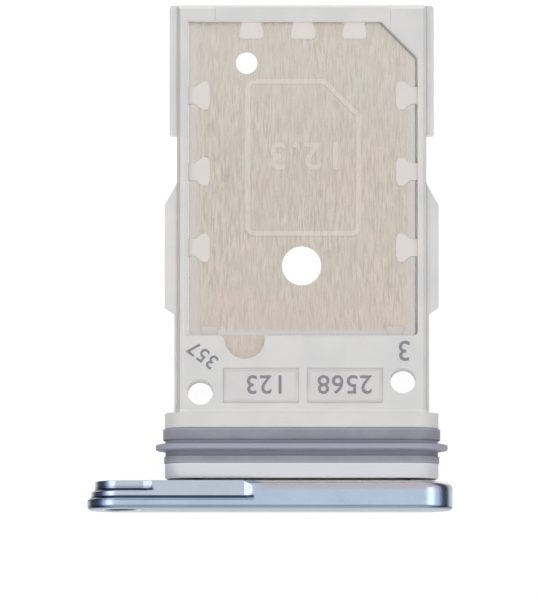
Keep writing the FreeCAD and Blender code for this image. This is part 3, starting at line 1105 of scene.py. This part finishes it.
@dataclass
class Studio:
    """Pale floor, soft dome, softboxes and the camera."""

    tray: Tray
    lip_setback: float = 2.60 * MM
    lip_half: float = 1.31 * MM
    edge_cut: float = 0.15 * MM
    floor_size: float = 1.6
    floor_colour: Colour = (0.93, 0.93, 0.93)
    floor_glow: float = 0.90
    near_reach: float = 8.0 * MM
    far_reach: float = 10.9 * MM
    reach_offset: float = 0.7 * MM
    near_mirror: float = 0.95
    far_mirror: float = 0.085
    ahead_mirror: float = 0.95
    paper_white: float = 1.05
    horizon_tint: Colour = (0.70, 0.85, 1.90)
    dome_level: float = 0.55
    ceiling_level: float = 1.0
    side_level: float = 0.08
    front_level: float = 0.75
    rear_level: float = 0.85
    lens: float = 1200.0
    pixels_per_mm: float = 25.46
    picture_height: int = 600
    camera_tilt: float = 4.7
    picture_row_of_middle: float = 258.35

    def build_floor(self) -> None:
        """Lay the floor so that it touches the seal's lip and the frame's rear edge."""
        middle_z = self.tray.middle_z
        lip_y, lip_z = self.tray.front + self.lip_setback, middle_z - self.lip_half
        edge_y, edge_z = self.tray.body[1].y - self.edge_cut, middle_z - self.tray.deck_half
        slope = (edge_z - lip_z) / (edge_y - lip_y)
        half = self.floor_size / 2
        corners = [(x, y, lip_z + (y - lip_y) * slope) for x, y in
                   ((-half, -half), (half, -half), (half, half), (-half, half))]
        mesh = bpy.data.meshes.new("floor")
        mesh.from_pydata(corners, [], [(0, 1, 2, 3)])
        mesh.materials.append(self.make_floor_material())
        floor = bpy.data.objects.new("floor", mesh)
        bpy.context.scene.collection.objects.link(floor)

    def make_floor_material(self) -> bpy.types.Material:
        """White paper that keeps a light shadow: part of what is seen of it is its own white.

        Reflections see it bright beside the tray, and dark farther out to the left, the right and
        the front.

        Returns:
            The material.
        """
        material = bpy.data.materials.new("floor_paper")
        material.use_nodes = True
        desk = Desk(material.node_tree)
        paper = desk.fill(desk.add("ShaderNodeBsdfDiffuse"), Color=self.floor_colour)
        x, y, _ = desk.axes(desk.place())
        beside = desk.remap(desk.apart(x, self.reach_offset), self.near_reach, self.far_reach,
                            self.near_mirror, self.far_mirror)
        front = self.tray.front
        close = desk.remap(y, front - 0.26 * MM, front - 0.02 * MM, 0.75, 1.06)
        ahead = desk.remap(y, front - 3.0 * MM, front - 1.0 * MM, self.ahead_mirror, 1.0)
        mirrored = desk.product(beside, close, ahead)
        path = desk.add("ShaderNodeLightPath").outputs
        glossy = path["Is Glossy Ray"]
        seen = desk.math("ADD", path["Is Camera Ray"], path["Is Transmission Ray"], clamp=True)
        change = desk.product(glossy, desk.math("SUBTRACT", mirrored, self.paper_white))
        glow = desk.math("ADD", change, self.paper_white)
        white = desk.fill(desk.add("ShaderNodeEmission"), Strength=glow)
        mix = desk.add("ShaderNodeMixShader")
        share = desk.math("ADD", desk.product(seen, self.floor_glow), glossy, clamp=True)
        desk.feed(mix.inputs[0], share)
        desk.feed(mix.inputs[1], paper.outputs[0])
        desk.feed(mix.inputs[2], white.outputs[0])
        desk.fill(desk.add("ShaderNodeOutputMaterial"), Surface=mix.outputs[0])
        return material

    def build_dome(self) -> None:
        """Light the room: an even dome, and what metal and glass show of it.

        Reflections see a white ceiling that falls off towards the horizon, sooner on the left than
        on the right. The horizon is dark at the left and right, dim at the front and pale at the
        back. The camera sees a white backdrop.
        """
        world = bpy.data.worlds.new("dome")
        bpy.context.scene.world = world
        world.use_nodes = True
        desk = Desk(world.node_tree)
        x, y, up = desk.axes(desk.add("ShaderNodeTexCoord").outputs["Generated"])
        along = desk.remap(y, -0.3, 0.3, self.front_level, self.rear_level)
        sideways = desk.remap(desk.math("ABSOLUTE", x), 0.35, 0.75)
        dark = desk.product(sideways, desk.math("SUBTRACT", along, self.side_level))
        horizon = desk.math("SUBTRACT", along, dark)
        leaning = desk.math("ADD", up, desk.product(x, 0.10))
        ceiling = desk.remap(leaning, 0.07, 0.49)
        gap = desk.math("SUBTRACT", self.ceiling_level, horizon)
        room = desk.math("ADD", horizon, desk.product(ceiling, gap))
        path = desk.add("ShaderNodeLightPath").outputs
        mirrored = desk.math("ADD", path["Is Glossy Ray"], path["Is Transmission Ray"], clamp=True)
        lit = desk.product(mirrored, desk.math("SUBTRACT", room, self.dome_level))
        level = desk.math("MAXIMUM", desk.math("ADD", lit, self.dome_level), path["Is Camera Ray"])
        tinted = desk.product(sideways, desk.math("SUBTRACT", 1.0, ceiling), mirrored)
        colour = desk.blend(tinted, (1.0, 1.0, 1.0), self.horizon_tint)
        background = desk.fill(desk.add("ShaderNodeBackground"), Strength=level, Color=colour)
        desk.fill(desk.add("ShaderNodeOutputWorld"), Surface=background.outputs[0])

    def add_softbox(self, name: str, azimuth: float, from_zenith: float, level: float,
                    width: float, mirrored: bool, distance: float = 0.5) -> None:
        """Hang a softbox that looks at the tray.

        Args:
            name: The lamp's name.
            azimuth: Its direction in degrees, from +X towards +Y.
            from_zenith: Its angle from straight up, in degrees.
            level: How bright its face looks, where 1 is white.
            width: The side of its square face.
            mirrored: Whether it shows only in reflections; if not, it only lights.
            distance: How far away it is.
        """
        lamp = bpy.data.lights.new(name, "AREA")
        lamp.shape = "SQUARE"
        lamp.size = width
        lamp.energy = level * math.pi * width ** 2
        holder = bpy.data.objects.new(name, lamp)
        turn, lean = math.radians(azimuth), math.radians(from_zenith)
        flat = math.sin(lean)
        away = Vector((math.cos(turn) * flat, math.sin(turn) * flat, math.cos(lean)))
        holder.location = away * distance
        holder.rotation_euler = away.to_track_quat("Z", "Y").to_euler()
        holder.visible_glossy = mirrored
        holder.visible_diffuse = not mirrored
        bpy.context.scene.collection.objects.link(holder)

    def build_camera(self) -> None:
        """Place a long lens over the tray, leaning a few degrees towards the cap's face."""
        data = bpy.data.cameras.new("camera")
        data.lens = self.lens
        data.sensor_width = 36.0
        data.clip_start = 0.001
        data.clip_end = 10.0
        seen_height = self.picture_height / self.pixels_per_mm * MM
        distance = self.lens * seen_height / data.sensor_width
        tilt = math.radians(self.camera_tilt)
        back = Vector((0.0, -math.sin(tilt), math.cos(tilt)))
        rows_below = self.picture_height / 2 - self.picture_row_of_middle
        aim_y = -rows_below / (self.pixels_per_mm * math.cos(tilt)) * MM
        camera = bpy.data.objects.new("camera", data)
        camera.location = Vector((0.0, aim_y, self.tray.middle_z)) + back * distance
        up = Vector((0.0, math.cos(tilt), math.sin(tilt)))
        camera.rotation_euler = Matrix((Vector((1, 0, 0)), up, back)).transposed().to_euler()
        bpy.context.scene.collection.objects.link(camera)
        bpy.context.scene.camera = camera

    def build(self) -> None:
        """Set up the whole studio."""
        self.build_floor()
        self.build_dome()
        self.add_softbox("softbox_overhead", azimuth=0.0, from_zenith=2.0, level=3.4, width=0.26,
                         mirrored=False)
        self.add_softbox("softbox_key", azimuth=255.0, from_zenith=42.0, level=4.2, width=0.20,
                         mirrored=False)
        self.add_softbox("softbox_right", azimuth=0.0, from_zenith=43.0, level=1.33, width=0.21,
                         mirrored=True)
        self.add_softbox("softbox_left", azimuth=180.0, from_zenith=42.0, level=1.08, width=0.20,
                         mirrored=True)
        self.build_camera()
        bpy.context.scene.view_settings.view_transform = "Standard"


def main() -> None:
    """Dress the tray, add its marks and set up the studio."""
    logging.basicConfig(level=logging.INFO, format="%(message)s")
    effects = Effects()
    tray = Tray()
    Studio(tray).build()
    plastic = MouldedPlastic(nub_level=tray.middle_z + 0.135 * MM, neck_rear=tray.front + 1.82 * MM,
                             neck_front=tray.front + 1.21 * MM, deck_front=tray.front + 3.79 * MM,
                             inner_middle=tray.middle_x + 0.05 * MM, inner_half=4.66 * MM,
                             panels=PanelPair(tray.middle_x + 0.05 * MM, tray.front + 4.845 * MM))
    steel = BrushedSteel(raised_from=tray.middle_z + 0.095 * MM, left_x=tray.middle_x - 4.43 * MM,
                         right_x=tray.middle_x + 4.47 * MM, front_y=tray.front + 6.91 * MM,
                         rear_y=tray.front + 19.2 * MM).make(effects)
    long_step = MilledStep(wall_y=tray.front + 0.38 * MM, end_x=tray.cap[0].x + 6.49 * MM,
                           soft_start=-0.04 * MM, soft_share=0.45)
    short_step = MilledStep(wall_y=tray.front + 0.68 * MM, end_x=tray.cap[0].x + 2.54 * MM,
                            soft_start=0.13 * MM, soft_share=0.38)
    metal = AnodisedMetal(face=tray.front, hole_x=tray.cap[0].x + 1.35 * MM,
                          hole_z=tray.middle_z, ring_radius=0.70 * MM, long_step=long_step,
                          short_step=short_step, rear_edge=tray.cap[1].y)
    rubber = SiliconeRubber(middle_x=tray.middle_x, middle_z=tray.middle_z, core_half=4.42 * MM,
                            valley_radius=0.93 * MM, lip_y=tray.front + 2.45 * MM,
                            front_end=tray.front + 1.82 * MM, rear_end=tray.front + 3.18 * MM)
    dress("face_cap", metal.make(effects))
    dress("tray_frame", plastic.make(effects))
    dress("support_plate", steel)
    dress("seal_ring", rubber.make(effects))
    DeckMarks(tray).build(DeckInk().make(effects))
    PlateMark(tray).build(steel)


if __name__ == "__main__":
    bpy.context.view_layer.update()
    main()
